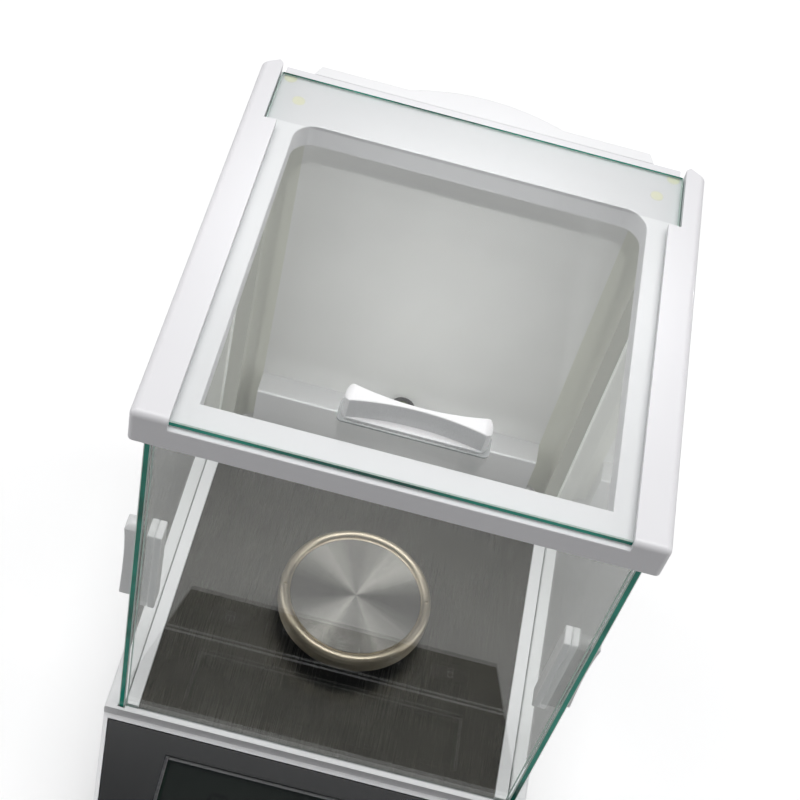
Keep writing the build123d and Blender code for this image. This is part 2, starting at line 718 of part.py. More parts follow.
def door_runners():
    """Low-friction strips in the bottom of the door grooves."""
    strip = block(DOOR_INNER_X + 0.2, DOOR_INNER_X + GLASS - 0.2, DOOR_FRONT_Y, BASE_REAR_Y - 2,
                  GROOVE_BOTTOM_Z, GROOVE_BOTTOM_Z + RUNNER_HEIGHT)
    return pair(strip)


def bow_tie_pull():
    """Pull lying in the XY plane: flat base and a narrow-waisted wall with bowed ends."""
    half = PULL_LENGTH / 2
    shoulder = half - PULL_END_BULGE
    rear = ThreePointArc((-shoulder, PULL_END_HALF), (0, PULL_WAIST_HALF), (shoulder, PULL_END_HALF))
    right = ThreePointArc((shoulder, PULL_END_HALF), (half, 0), (shoulder, -PULL_END_HALF))
    front = ThreePointArc((shoulder, -PULL_END_HALF), (0, -PULL_WAIST_HALF), (-shoulder, -PULL_END_HALF))
    left = ThreePointArc((-shoulder, -PULL_END_HALF), (-half, 0), (-shoulder, PULL_END_HALF))
    face = make_face(Wire([rear, right, front, left]))
    envelope = Pos(0, 0, PULL_HEIGHT / 2) * Box(PULL_LENGTH, 2 * PULL_DEPTH, PULL_HEIGHT)
    ends = [edge for edge in envelope.edges().filter_by(Axis.Y) if edge.center().Z > PULL_HEIGHT - 0.1]
    wall = extrude(face, PULL_HEIGHT) & fillet(ends, PULL_END_ROUNDING)
    sides = [edge for edge in wall.edges() if edge.center().Z > PULL_HEIGHT - 0.05 and abs(edge.center().X) < 1]
    wall = fillet(sides, 0.6)
    base = extrude(fillet(Rectangle(PULL_LENGTH - 2.4, PULL_DEPTH).vertices(), 2.0), PULL_BASE)
    base = fillet(base.edges().group_by(Axis.Z)[-1], 0.35)
    return base + wall


def pull_pad():
    """Clear adhesive pad under a pull, lying in the XY plane."""
    face = Rectangle(PULL_LENGTH + 2 * PAD_MARGIN, PULL_DEPTH + 2 * PAD_MARGIN)
    return extrude(fillet(face.vertices(), 2.4), PAD_THICKNESS)


def on_door(side, shape):
    """Stand a flat-lying pull on a side pane, with its length upright."""
    spot = Pos(side * (DOOR_INNER_X + GLASS), SIDE_PULL_Y, SIDE_PULL_Z)
    return spot * Rot(0, side * 90, 0) * shape


def inner_pull(side):
    """Finger bar on the inner face of a side pane."""
    depth, width, length = INNER_PULL
    x0 = DOOR_INNER_X - depth
    bar = block(x0, DOOR_INNER_X, SIDE_PULL_Y - width / 2, SIDE_PULL_Y + width / 2,
                SIDE_PULL_Z - length / 2, SIDE_PULL_Z + length / 2)
    inner_face = bar.faces().sort_by(Axis.X)[0]
    bar = fillet(inner_face.edges(), 0.7)
    return bar if side > 0 else mirrored(bar)


def top_door_glass():
    """Sliding top pane."""
    pane = block(-TOP_GLASS_HALF, TOP_GLASS_HALF, TOP_GLASS_FRONT_Y, TOP_GLASS_REAR_Y,
                 TOP_GLASS_Z, TOP_GLASS_Z + GLASS)
    return chamfer(pane.edges().filter_by(Axis.X) + pane.edges().filter_by(Axis.Y), 0.3)


def rail_plan():
    """Plan of the top frame with pointed rail ends."""
    return outline(
        (-HALF_WIDTH, CHAMBER_FRONT_Y), (HALF_WIDTH, CHAMBER_FRONT_Y),
        (HALF_WIDTH, RAIL_SHOULDER_Y), (99.8, RAIL_REAR_Y), (96.5, RAIL_SHOULDER_Y + 1.5),
        (96.5, FRAME_REAR_Y), (-96.5, FRAME_REAR_Y),
        (-96.5, RAIL_SHOULDER_Y + 1.5), (-99.8, RAIL_REAR_Y), (-HALF_WIDTH, RAIL_SHOULDER_Y),
    )


def top_frame():
    """Moulded frame that carries the top pane between two rails."""
    plan = rail_plan()
    front = [corner for corner in plan.vertices() if corner.Y < CHAMBER_FRONT_Y + 1]
    frame = prism(fillet(front, 2.5), FRAME_BOTTOM_Z, RAIL_TOP_Z)
    sides = [edge for edge in frame.edges().filter_by(Axis.Y)
             if edge.center().Z > RAIL_TOP_Z - 0.1 and abs(edge.center().X) > HALF_WIDTH - 1]
    frame = fillet(sides, 3.0)
    frame -= block(-SLOT_HALF, SLOT_HALF, TOP_GLASS_FRONT_Y - 0.2, 160, LEDGE_Z, LIP_UNDER_Z)
    frame -= block(-LIP_HALF, LIP_HALF, -80, 160, LEDGE_Z, 350)
    frame -= block(-RAIL_INNER_REAR_HALF - 1, RAIL_INNER_REAR_HALF + 1, LIP_REAR_Y, 160, LEDGE_Z, 350)
    opening = block(-OPENING_HALF, OPENING_HALF, OPENING_FRONT_Y, OPENING_REAR_Y, 300, 350)
    corners = [edge for edge in opening.edges().filter_by(Axis.Z) if edge.center().Y > 0]
    frame -= fillet(corners, OPENING_REAR_RADIUS)
    groove = block(DOOR_INNER_X - GROOVE_CLEARANCE, DOOR_INNER_X + GLASS + GROOVE_CLEARANCE,
                   CHAMBER_FRONT_Y + 1.5, 160, 300, FRAME_BOTTOM_Z + 6.4)
    frame -= groove + mirrored(groove)
    frame -= block(-FRONT_GLASS_HALF - 0.2, FRONT_GLASS_HALF + 0.2, FRONT_GLASS_Y - 0.2,
                   FRONT_GLASS_Y + GLASS + 0.2, 300, FRAME_BOTTOM_Z + 5.4)
    frame = fillet([edge for edge in frame.edges() if on_ledge_rim(edge)], LEDGE_ROUNDING)
    for side in (-1, 1):
        for x, y in (DOT_FRONT, DOT_REAR):
            frame -= disc(side * x, y, DOT_RADIUS + FIT, LEDGE_Z - DOT_THICKNESS, 350)
        x, y = DOT_FRONT
        frame -= disc(side * x, y, 2.9, LEDGE_Z - 6, 350)
        frame -= disc(side * x, y, 1.7, 300, 350)
    return frame


def on_ledge_rim(edge):
    """Whether an edge borders the opening or the front of the ledge, at the ledge's height."""
    box = edge.bounding_box()
    level = abs(box.min.Z - LEDGE_Z) < 0.01 and abs(box.max.Z - LEDGE_Z) < 0.01
    inside = abs(edge.center().X) < OPENING_HALF + 0.1 and box.max.Y < OPENING_REAR_Y + 0.1
    return level and inside


def ledge_dots():
    """Clear rubber dots let into the ledge, two of them over screws."""
    dots = []
    for x, y in (DOT_FRONT, DOT_REAR):
        dots += pair(disc(x, y, DOT_RADIUS, LEDGE_Z - DOT_THICKNESS, LEDGE_Z))
    return dots


def rear_wall():
    """Glossy panel at the back of the chamber."""
    return block(-REAR_WALL_HALF, REAR_WALL_HALF, REAR_WALL_Y, REAR_WALL_Y + REAR_WALL_SHEET,
                 DECK_TOP_Z, FRAME_BOTTOM_Z)


def corner_posts():
    """Upright posts between the rear wall and the side panes, coved towards the chamber."""
    start = (REAR_WALL_HALF, REAR_WALL_Y)
    bend = (REAR_WALL_HALF + POST_COVE, REAR_WALL_Y - POST_COVE)
    reach = POST_COVE * sin(pi / 4)
    cove = ThreePointArc(start, (REAR_WALL_HALF + reach, bend[1] + reach), bend)
    rest = Polyline(bend, (bend[0], POST_FRONT_Y), (POST_OUTER_X, POST_FRONT_Y), (POST_OUTER_X, POST_REAR_Y),
                    (REAR_WALL_HALF, POST_REAR_Y), start)
    face = make_face(Wire([*cove.edges(), *rest.edges()]))
    post = prism(face, DECK_TOP_Z, FRAME_BOTTOM_Z)
    post -= block(bend[0] - 2, POST_OUTER_X - 3, REAR_WALL_Y, POST_REAR_Y - 2, DECK_TOP_Z - 1, 290)
    post -= disc(DOT_FRONT[0], DOT_FRONT[1], 1.55, 280, 340)
    return pair(post)


def rear_shelf():
    """Low hollow plinth along the foot of the rear wall."""
    front = FLOOR_REAR_Y
    shelf = block(-REAR_WALL_HALF, REAR_WALL_HALF, front, REAR_WALL_Y, DECK_TOP_Z, SHELF_Z)
    edge = [edge for edge in shelf.edges().filter_by(Axis.X)
            if edge.center().Z > SHELF_Z - 0.1 and edge.center().Y < front + 0.1]
    shelf = fillet(edge, 1.2)
    return shelf - block(-REAR_WALL_HALF + 2, REAR_WALL_HALF - 2, front + 2, REAR_WALL_Y + 1,
                         DECK_TOP_Z - 1, SHELF_Z - 2)


def level_holder():
    """Black ring that holds the level vial."""
    y = (FLOOR_REAR_Y + REAR_WALL_Y) / 2
    holder = disc(0, y, VIAL_RADIUS - 0.2, SHELF_Z, SHELF_Z + 10)
    holder = fillet(holder.edges().group_by(Axis.Z)[-1], 0.6)
    return holder - disc(0, y, VIAL_RADIUS - 1.6, SHELF_Z + 1.5, SHELF_Z + 12)


def level_vial():
    """Round level vial with a domed top."""
    y = (FLOOR_REAR_Y + REAR_WALL_Y) / 2
    vial = disc(0, y, VIAL_RADIUS - 1.65, SHELF_Z + 1.5, SHELF_Z + 9.6)
    return fillet(vial.edges().group_by(Axis.Z)[-1], 1.5)


def column_plan(inset):
    """Plan of the rear column: flat back with a shallow bow in the middle."""
    half = COLUMN_HALF - inset
    back = COLUMN_REAR_Y - inset
    bow_half = 38.0
    bow = ThreePointArc((-bow_half, back), (0, REAR_Y - inset), (bow_half, back))
    right = Polyline((bow_half, back), (half - 2.6, back), (half, back - 7.4),
                     (half, POST_REAR_Y + 0.2 + inset))
    left = Polyline((half, POST_REAR_Y + 0.2 + inset), (-half, POST_REAR_Y + 0.2 + inset),
                    (-half, back - 7.4), (-half + 2.6, back), (-bow_half, back))
    return make_face(Wire([*bow.edges(), *right.edges(), *left.edges()]))


def rear_column():
    """Hollow cover behind the chamber, with a cap level with the ledge."""
    low = DECK_TOP_Z
    high = FRAME_BOTTOM_Z - 0.2
    cap_y = FRAME_REAR_Y + 0.2
    column = prism(column_plan(0), low, LEDGE_Z)
    column = fillet(column.edges().group_by(Axis.Z)[-1], 0.5)
    column -= prism(column_plan(COLUMN_WALL), low - 1, LEDGE_Z - COLUMN_WALL)
    column -= block(-120, 120, 100, cap_y, high, 360)
    inner = column_plan(COLUMN_WALL / 2)
    shelf = prism(inner, high - COLUMN_WALL, high) & block(-120, 120, 100, cap_y + COLUMN_WALL, 300, 360)
    step = prism(inner, high - COLUMN_WALL, LEDGE_Z - 1) & block(-120, 120, cap_y, cap_y + COLUMN_WALL, 300, 360)
    return column + shelf + step


def main():
    """Build and write every node."""
    os.makedirs("parts", exist_ok=True)
    save("base_housing", base_housing())
    save("base_plate", base_plate())
    save("fasteners", *fasteners())
    save("display_panel", display_panel())
    save("key_panel", key_panel())
    save("display_window", display_window())
    save("lcd_module", lcd_module())
    save("display_board", display_board())
    for name, x in key_places():
        save(f"key_{name}", key(x))
    save("level_holder", level_holder())
    save("level_vial", level_vial())
    save("main_board", main_board())
    save("transformer", transformer())
    save("ribbon_cable", ribbon_cable())
    save("mains_inlet", mains_inlet())
    save("inlet_blades", *inlet_blades())
    save("serial_port", serial_port())
    save("switch_housing", switch_housing())
    save("switch_rocker", switch_rocker())
    for label, side in (("left", -1), ("right", 1)):
        save(f"{label}_foot_pad", foot_pad(side))
        save(f"{label}_foot_screw", foot_screw(side))
        save(f"{label}_door_glass", door_glass(side))
        save(f"{label}_outer_pull", on_door(side, bow_tie_pull()))
        save(f"{label}_inner_pull", inner_pull(side))
    save("foot_inserts", *foot_inserts())
    save("rear_feet", *rear_feet())
    save("cell_frame", cell_frame())
    save("upper_guide", guide_arm(72.5))
    save("lower_guide", guide_arm(38.5))
    save("load_carrier", load_carrier())
    save("balance_lever", balance_lever())
    save("magnet_pot", magnet_pot())
    save("magnet", magnet())
    save("coil_winding", coil_winding())
    save("position_sensor", position_sensor())
    save("cell_cover", cell_cover())
    save("weighing_pan", weighing_pan())
    save("pan_hub", pan_hub())
    save("spill_collar", spill_collar())
    save("chamber_floor", chamber_floor())
    save("front_glass", front_glass())
    save("door_runners", *door_runners())
    top_pull_z = TOP_GLASS_Z + GLASS
    save("top_door_glass", top_door_glass())
    save("top_pull_pad", Pos(0, TOP_PULL_Y, top_pull_z) * pull_pad())
    save("top_pull", Pos(0, TOP_PULL_Y, top_pull_z + PAD_THICKNESS) * bow_tie_pull())
    save("top_frame", top_frame())
    save("ledge_dots", *ledge_dots())
    save("rear_wall", rear_wall())
    save("corner_posts", *corner_posts())
    save("rear_shelf", rear_shelf())
    save("rear_column", rear_column())


main()
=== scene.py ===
from math import cos, pi, radians, sin

import bmesh
import bpy
from mathutils import Matrix, Quaternion, Vector


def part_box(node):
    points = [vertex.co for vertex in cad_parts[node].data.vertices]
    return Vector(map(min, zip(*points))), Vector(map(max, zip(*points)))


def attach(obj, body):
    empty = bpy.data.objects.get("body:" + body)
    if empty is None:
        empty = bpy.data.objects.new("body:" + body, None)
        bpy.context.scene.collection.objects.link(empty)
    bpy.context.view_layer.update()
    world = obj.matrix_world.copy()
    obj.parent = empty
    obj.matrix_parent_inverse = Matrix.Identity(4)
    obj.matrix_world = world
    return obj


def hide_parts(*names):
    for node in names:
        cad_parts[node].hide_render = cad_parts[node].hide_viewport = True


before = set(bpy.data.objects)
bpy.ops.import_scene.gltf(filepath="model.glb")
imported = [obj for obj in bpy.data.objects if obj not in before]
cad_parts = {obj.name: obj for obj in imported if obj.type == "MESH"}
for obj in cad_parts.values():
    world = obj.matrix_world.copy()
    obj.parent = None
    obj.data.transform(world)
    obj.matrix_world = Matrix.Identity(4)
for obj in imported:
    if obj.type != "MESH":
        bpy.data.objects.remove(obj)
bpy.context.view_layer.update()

# Looks for the analytical balance. Metres, in the frame of the CAD model.

MM = 0.001

VIEW_ELEVATION = radians(50.16)
VIEW_AZIMUTH = radians(2.15)
VIEW_ROLL = radians(16.31)
VIEW_DISTANCE = 0.6344
VIEW_AIM = Vector((-0.0082, -0.0307))
LENS = 71.98
SENSOR = 36.0

# Area lights: name, position, target, size in metres and power in watts.
LAMPS = (
    ("overhead", (0.0, 0.22, 3.0), (0.0, 0.22, 0.0), (2.9, 1.45), 64.0),
    ("rear_screen", (0.1, 2.46, 3.0), (0.1, 2.46, 0.0), (2.0, 1.3), 8.0),
    ("side_-1", (-2.3, 0.2, 1.3), (0.0, 0.1, 0.3), (1.6, 1.6), 13.0),
    ("side_1", (2.3, 0.2, 1.3), (0.0, 0.1, 0.3), (1.6, 1.6), 13.0),
    ("chamber", (0.0, -0.503, 1.39), (0.0, 0.06, 0.33), (0.13, 0.09), 0.04),
)
CHAMBER_SPREAD = radians(8.0)
SURROUND = (0.98, 0.98, 1.0)
SURROUND_STRENGTH = 0.14
FLOOR_RADIUS = 6.0
FLOOR_GLOW = 0.38

MOSTLY_UP = 0.8
SAME_WAY = 0.999
SAME_LEVEL = 0.05 * MM

GLASS_ARRIS = 0.5 * MM
GLASS_IOR = 1.5
GLASS_TINT = (0.985, 0.99, 0.986)
GLASS_SHADOW = (0.962, 0.966, 0.963)
# Painted light on the pane edges: greens from dark to light that stand in for light carried inside the glass.
EDGE_PAINTED_DARK = (0.002, 0.1, 0.07)
EDGE_PAINTED_MIDDLE = (0.005, 0.32, 0.225)
EDGE_PAINTED_LIGHT = (0.04, 0.47, 0.35)

PAN_FACE_RADIUS = 34.3 * MM
# Painted reflection: the pan's disc gets this many brighter and darker fans painted into its colour, turned
# by this angle.
PAN_PAINTED_FANS = 4.0
PAN_PAINTED_FAN_TURN = 0.1
BRUSH_CONTRAST = 0.05
PULL_EASING = 0.7 * MM
EASING_STEPS = 5
ROUND_STEPS = 48

DISPLAY_PLACES = 6
DISPLAY_PITCH = 16.5 * MM
FIGURE_WIDTH = 9.0 * MM
FIGURE_HEIGHT = 17.0 * MM
FIGURE_BAR = 1.9 * MM
FIGURE_GAP = 0.3 * MM
POINT_SIZE = 1.8 * MM
POINT_DROP = 9.2 * MM
FIGURE_HEIGHTS = (0.01 * MM, 0.06 * MM)
SIGN_LINE = 0.5 * MM
SIGN_HEIGHTS = (-0.02 * MM, 0.03 * MM)


# Node helpers.

def add(tree, kind, values=None, **properties):
    """New node; a socket in values is linked, and anything else is set as a constant."""
    made = tree.nodes.new(kind)
    for name, value in properties.items():
        setattr(made, name, value)
    for name, value in (values or {}).items():
        if isinstance(value, bpy.types.NodeSocket):
            tree.links.new(value, made.inputs[name])
        else:
            made.inputs[name].default_value = value
    return made


def material(name, colour, rough, metal=0.0, **values):
    """Principled material; values name its sockets with underscores for spaces."""
    made = bpy.data.materials.new(name)
    made.use_nodes = True
    surface = made.node_tree.nodes["Principled BSDF"]
    surface.inputs["Base Color"].default_value = (*colour, 1.0)
    surface.inputs["Roughness"].default_value = rough
    surface.inputs["Metallic"].default_value = metal
    for socket, value in values.items():
        surface.inputs[socket.replace("_", " ")].default_value = value
    return made, made.node_tree, surface


def place(tree, stretch=(1.0, 1.0, 1.0)):
    """Object coordinates, which are row-frame metres, scaled per axis."""
    where = add(tree, "ShaderNodeTexCoord")
    return add(tree, "ShaderNodeMapping", {"Vector": where.outputs["Object"], "Scale": stretch}).outputs[0]


def noise(tree, point, scale, detail=2.0, rough=0.5):
    """Noise from 0 to 1 at scale cells per metre."""
    values = {"Vector": point, "Scale": scale, "Detail": detail, "Roughness": rough}
    return add(tree, "ShaderNodeTexNoise", values).outputs["Fac"]


def ramp(tree, factor, *stops):
    """Colour ramp through (position, colour) stops."""
    made = add(tree, "ShaderNodeValToRGB", {"Fac": factor})
    points = made.color_ramp.elements
    while len(points) < len(stops):
        points.new(1.0)
    for point, (position, colour) in zip(points, stops):
        point.position = position
        point.color = (*colour, 1.0)
    return made.outputs["Color"]


def spread(tree, factor, low, high, from_low=0.3, from_high=0.7):
    """Factor carried onto another range."""
    values = {"Value": factor, "From Min": from_low, "From Max": from_high, "To Min": low, "To Max": high}
    return add(tree, "ShaderNodeMapRange", values).outputs[0]


def maths(tree, operation, a, b=0.0):
    """One Math node."""
    return add(tree, "ShaderNodeMath", {0: a, 1: b}, operation=operation).outputs[0]


def relief(tree, surface, height, depth):
    """Bump of a real depth in metres."""
    bump = add(tree, "ShaderNodeBump", {"Height": height, "Distance": depth})
    tree.links.new(bump.outputs[0], surface.inputs["Normal"])


def tint(colour, share):
    """Colour made darker or lighter."""
    return tuple(min(channel * share, 1.0) for channel in colour)


def feed(tree, socket, surface, name):
    """Link a socket to a named input of the surface shader."""
    tree.links.new(socket, surface.inputs[name])


# Materials.

def moulded(name, colour, rough, grain=1600.0, depth=0.012 * MM, mottle=0.97, **values):
    """Moulded plastic: fine spark-eroded grain, a faint broad unevenness and uneven gloss."""
    made, tree, surface = material(name, colour, rough, **values)
    point = place(tree)
    broad = noise(tree, point, 22.0, 3.0)
    fine = noise(tree, point, grain, 3.0, 0.6)
    feed(tree, ramp(tree, broad, (0.3, tint(colour, mottle)), (0.7, colour)), surface, "Base Color")
    feed(tree, spread(tree, fine, rough - 0.05, rough + 0.07), surface, "Roughness")
    relief(tree, surface, fine, depth)
    return made


def glossy_panel(name, colour, rough, waviness=0.03 * MM, **values):
    """Polished moulded or printed panel: smooth, with a very slight waviness."""
    made, tree, surface = material(name, colour, rough, **values)
    point = place(tree)
    broad = noise(tree, point, 30.0, 2.0)
    dust = noise(tree, point, 900.0, 4.0, 0.7)
    feed(tree, ramp(tree, broad, (0.3, tint(colour, 0.96)), (0.7, colour)), surface, "Base Color")
    feed(tree, spread(tree, dust, rough, rough + 0.05, 0.5, 0.8), surface, "Roughness")
    relief(tree, surface, broad, waviness)
    return made


def brushed(name, colour, rough, stretch, depth=0.003 * MM, spread_along=(1.0, 0.0, 0.0)):
    """Metal brushed along the axis with the smallest stretch; highlights spread across the grooves."""
    made, tree, surface = material(name, colour, rough, 1.0, Anisotropic=0.7)
    across = add(tree, "ShaderNodeCombineXYZ", {index: value for index, value in enumerate(spread_along)})
    feed(tree, across.outputs[0], surface, "Tangent")
    lines = noise(tree, place(tree, stretch), 1.0, 3.0, 0.65)
    streaks = noise(tree, place(tree, tuple(value * 0.15 for value in stretch)), 1.0, 2.0)
    broad = noise(tree, place(tree), 16.0, 2.0)
    shade = maths(tree, "ADD", maths(tree, "MULTIPLY", lines, 0.7), maths(tree, "MULTIPLY", streaks, 0.3))
    dark, light = tint(colour, 1.0 - BRUSH_CONTRAST), tint(colour, 1.0 + BRUSH_CONTRAST)
    feed(tree, ramp(tree, shade, (0.3, dark), (0.7, light)), surface, "Base Color")
    polish = maths(tree, "ADD", maths(tree, "MULTIPLY", lines, 0.5), maths(tree, "MULTIPLY", broad, 0.5))
    feed(tree, spread(tree, polish, rough - 0.05, rough + 0.07), surface, "Roughness")
    relief(tree, surface, lines, depth)
    return made


def cast_metal(name, colour, rough):
    """Sand-blasted casting."""
    made, tree, surface = material(name, colour, rough, 1.0)
    point = place(tree)
    fine = noise(tree, point, 700.0, 4.0, 0.65)
    broad = noise(tree, point, 40.0, 3.0)
    feed(tree, ramp(tree, broad, (0.3, tint(colour, 0.82)), (0.7, colour)), surface, "Base Color")
    feed(tree, spread(tree, fine, rough - 0.08, rough + 0.1), surface, "Roughness")
    relief(tree, surface, fine, 0.03 * MM)
    return made


def rubber(name, colour):
    """Matt rubber with a dusty bloom."""
    made, tree, surface = material(name, colour, 0.8)
    point = place(tree)
    fine = noise(tree, point, 1200.0, 3.0, 0.6)
    bloom = noise(tree, point, 60.0, 4.0, 0.6)
    feed(tree, ramp(tree, bloom, (0.35, colour), (0.75, tint(colour, 1.7))), surface, "Base Color")
    feed(tree, spread(tree, bloom, 0.68, 0.9), surface, "Roughness")
    relief(tree, surface, fine, 0.02 * MM)
    return made


def clear_glass(name):
    """Float glass that lets lamps through."""
    made = bpy.data.materials.new(name)
    made.use_nodes = True
    tree = made.node_tree
    tree.nodes.remove(tree.nodes["Principled BSDF"])
    glass = add(tree, "ShaderNodeBsdfGlass",
                {"Color": (*GLASS_TINT, 1.0), "Roughness": 0.0, "IOR": GLASS_IOR})
    through = add(tree, "ShaderNodeBsdfTransparent", {"Color": (*GLASS_SHADOW, 1.0)})
    ray = add(tree, "ShaderNodeLightPath")
    inner = add(tree, "ShaderNodeMixShader", {0: ray.outputs["Is Diffuse Ray"], 1: glass.outputs[0],
                                              2: through.outputs[0]})
    outer = add(tree, "ShaderNodeMixShader", {0: ray.outputs["Is Shadow Ray"], 1: inner.outputs[0],
                                              2: through.outputs[0]})
    tree.links.new(outer.outputs[0], tree.nodes["Material Output"].inputs["Surface"])
    return made


def glass_edge(name, along):
    """Polished edge of a pane, opaque: painted light in deep green stands in for light carried inside the
    glass, drifting between painted darker and lighter stretches along its length.
    """
    made, tree, surface = material(name, (0.01, 0.24, 0.16), 0.16, Specular_IOR_Level=0.25)
    stretch = [40.0, 40.0, 40.0]
    stretch[along] = 14.0
    # Painted light: darker and lighter stretches painted along the edge.
    painted_light_drift = noise(tree, place(tree, tuple(stretch)), 1.0, 4.0, 0.6)
    painted_edge_greens = ramp(tree, painted_light_drift, (0.33, EDGE_PAINTED_DARK), (0.5, EDGE_PAINTED_MIDDLE), (0.68, EDGE_PAINTED_LIGHT))
    feed(tree, painted_edge_greens, surface, "Base Color")
    relief(tree, surface, noise(tree, place(tree), 1400.0, 2.0), 0.01 * MM)
    return made


def ground_arris(name):
    """Ground corner of a pane: frosted and pale green."""
    made, tree, surface = material(name, (0.62, 0.72, 0.68), 0.45)
    fine = noise(tree, place(tree), 1800.0, 3.0, 0.6)
    feed(tree, ramp(tree, fine, (0.35, (0.46, 0.6, 0.54)), (0.65, (0.66, 0.76, 0.72))), surface, "Base Color")
    relief(tree, surface, fine, 0.02 * MM)
    return made


def turned_steel(name, face, rim, rough, centre):
    """Faced disc with fine concentric tool marks and painted reflection fans, brighter and darker sectors
    painted into its colour, inside a plain warm rim.
    """
    made, tree, surface = material(name, face, rough, 1.0, Anisotropic=0.75, Anisotropic_Rotation=0.25)
    split = add(tree, "ShaderNodeSeparateXYZ", {0: place(tree)})
    dx = maths(tree, "SUBTRACT", split.outputs[0], centre.x)
    dy = maths(tree, "SUBTRACT", split.outputs[1], centre.y)
    radius = maths(tree, "SQRT", maths(tree, "ADD", maths(tree, "MULTIPLY", dx, dx),
                                       maths(tree, "MULTIPLY", dy, dy)))
    ring = add(tree, "ShaderNodeCombineXYZ", {0: radius, 1: 0.0, 2: split.outputs[2]}).outputs[0]
    marks = noise(tree, ring, 7000.0, 3.0, 0.7)
    # Painted reflection: fans of turned-steel highlights painted into the disc's colour by angle, with a
    # little wander.
    turn = maths(tree, "ARCTAN2", dy, dx)
    shifted = maths(tree, "SUBTRACT", turn, PAN_PAINTED_FAN_TURN)
    wave = maths(tree, "COSINE", maths(tree, "MULTIPLY", shifted, PAN_PAINTED_FANS))
    around = add(tree, "ShaderNodeCombineXYZ", {0: turn, 1: 0.0, 2: 0.0}).outputs[0]
    painted_fan_wander = noise(tree, around, 2.4, 4.0, 0.6)
    painted_fans = maths(tree, "ADD", maths(tree, "MULTIPLY", wave, -0.34), painted_fan_wander)
    shade = maths(tree, "ADD", maths(tree, "MULTIPLY", marks, 0.22), maths(tree, "MULTIPLY", painted_fans, 0.78))
    disc = ramp(tree, shade, (0.24, tint(face, 0.62)), (0.5, face), (0.76, tint(face, 1.5)))
    edge = spread(tree, radius, 0.0, 1.0, PAN_FACE_RADIUS, PAN_FACE_RADIUS + 0.3 * MM)
    mixed = add(tree, "ShaderNodeMix", {0: edge, 6: disc, 7: (*rim, 1.0)}, data_type="RGBA")
    feed(tree, mixed.outputs[2], surface, "Base Color")
    feed(tree, spread(tree, edge, rough, rough * 1.2, 0.0, 1.0), surface, "Roughness")
    relief(tree, surface, marks, 0.0015 * MM)
    radial = add(tree, "ShaderNodeTangent", direction_type="RADIAL", axis="Z")
    tree.links.new(radial.outputs[0], surface.inputs["Tangent"])
    return made


def wound(name, colour, pitch, axis):
    """Winding of fine enamelled wire: ridges at the wire's pitch, with painted shade darkening the grooves
    between turns.
    """
    made, tree, surface = material(name, colour, 0.3, 1.0, Coat_Weight=0.5)
    split = add(tree, "ShaderNodeSeparateXYZ", {0: place(tree)})
    wave = maths(tree, "SINE", maths(tree, "MULTIPLY", split.outputs[axis], 2 * pi / pitch))
    height = spread(tree, wave, 0.0, 1.0, -1.0, 1.0)
    # Painted shade: the grooves between turns are darkened in the colour.
    feed(tree, ramp(tree, height, (0.0, tint(colour, 0.4)), (0.6, colour)), surface, "Base Color")
    relief(tree, surface, height, pitch * 0.3)
    return made


def circuit_board(name):
    """Solder mask over copper tracks."""
    made, tree, surface = material(name, (0.02, 0.16, 0.06), 0.35, Coat_Weight=0.4)
    cells = add(tree, "ShaderNodeTexBrick", {
        "Vector": place(tree), "Scale": 260.0, "Mortar Size": 0.06, "Color1": (0.015, 0.12, 0.045, 1),
        "Color2": (0.02, 0.16, 0.06, 1), "Mortar": (0.04, 0.27, 0.12, 1)})
    feed(tree, cells.outputs["Color"], surface, "Base Color")
    relief(tree, surface, cells.outputs["Fac"], 0.04 * MM)
    return made


# Camera, light and floor.

def make_camera():
    """Camera at the viewing angle, aimed at the top pane."""
    data = bpy.data.cameras.new("camera")
    data.lens = LENS
    data.sensor_width = SENSOR
    camera = bpy.data.objects.new("camera", data)
    bpy.context.scene.collection.objects.link(camera)
    forward = Vector((sin(VIEW_AZIMUTH) * cos(VIEW_ELEVATION), cos(VIEW_AZIMUTH) * cos(VIEW_ELEVATION),
                      -sin(VIEW_ELEVATION)))
    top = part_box("top_frame")[1].z
    camera.location = Vector((VIEW_AIM.x, VIEW_AIM.y, top)) - forward * VIEW_DISTANCE
    camera.rotation_mode = "QUATERNION"
    camera.rotation_quaternion = forward.to_track_quat("-Z", "Y") @ Quaternion((0, 0, 1), VIEW_ROLL)
    data.clip_start = 0.01
    data.clip_end = 50.0
    bpy.context.scene.camera = camera


def area_light(name, position, target, size, power):
    """Rectangular soft light turned towards a target."""
    data = bpy.data.lights.new(name, "AREA")
    data.shape = "RECTANGLE"
    data.size, data.size_y = size
    data.energy = power
    lamp = bpy.data.objects.new(name, data)
    bpy.context.scene.collection.objects.link(lamp)
    lamp.location = position
    lamp.rotation_mode = "QUATERNION"
    lamp.rotation_quaternion = (Vector(target) - Vector(position)).to_track_quat("-Z", "Y")
    return data


def make_light():
    """Soft lights above, behind and at each side, a narrow one into the chamber, and a dim surround."""
    lamps = {name: area_light(name, *values) for name, *values in LAMPS}
    lamps["chamber"].spread = CHAMBER_SPREAD
    world = bpy.data.worlds.new("surround")
    bpy.context.scene.world = world
    world.use_nodes = True
    background = world.node_tree.nodes["Background"]
    background.inputs["Color"].default_value = (*SURROUND, 1.0)
    background.inputs["Strength"].default_value = SURROUND_STRENGTH
    bpy.context.scene.view_settings.view_transform = "Standard"


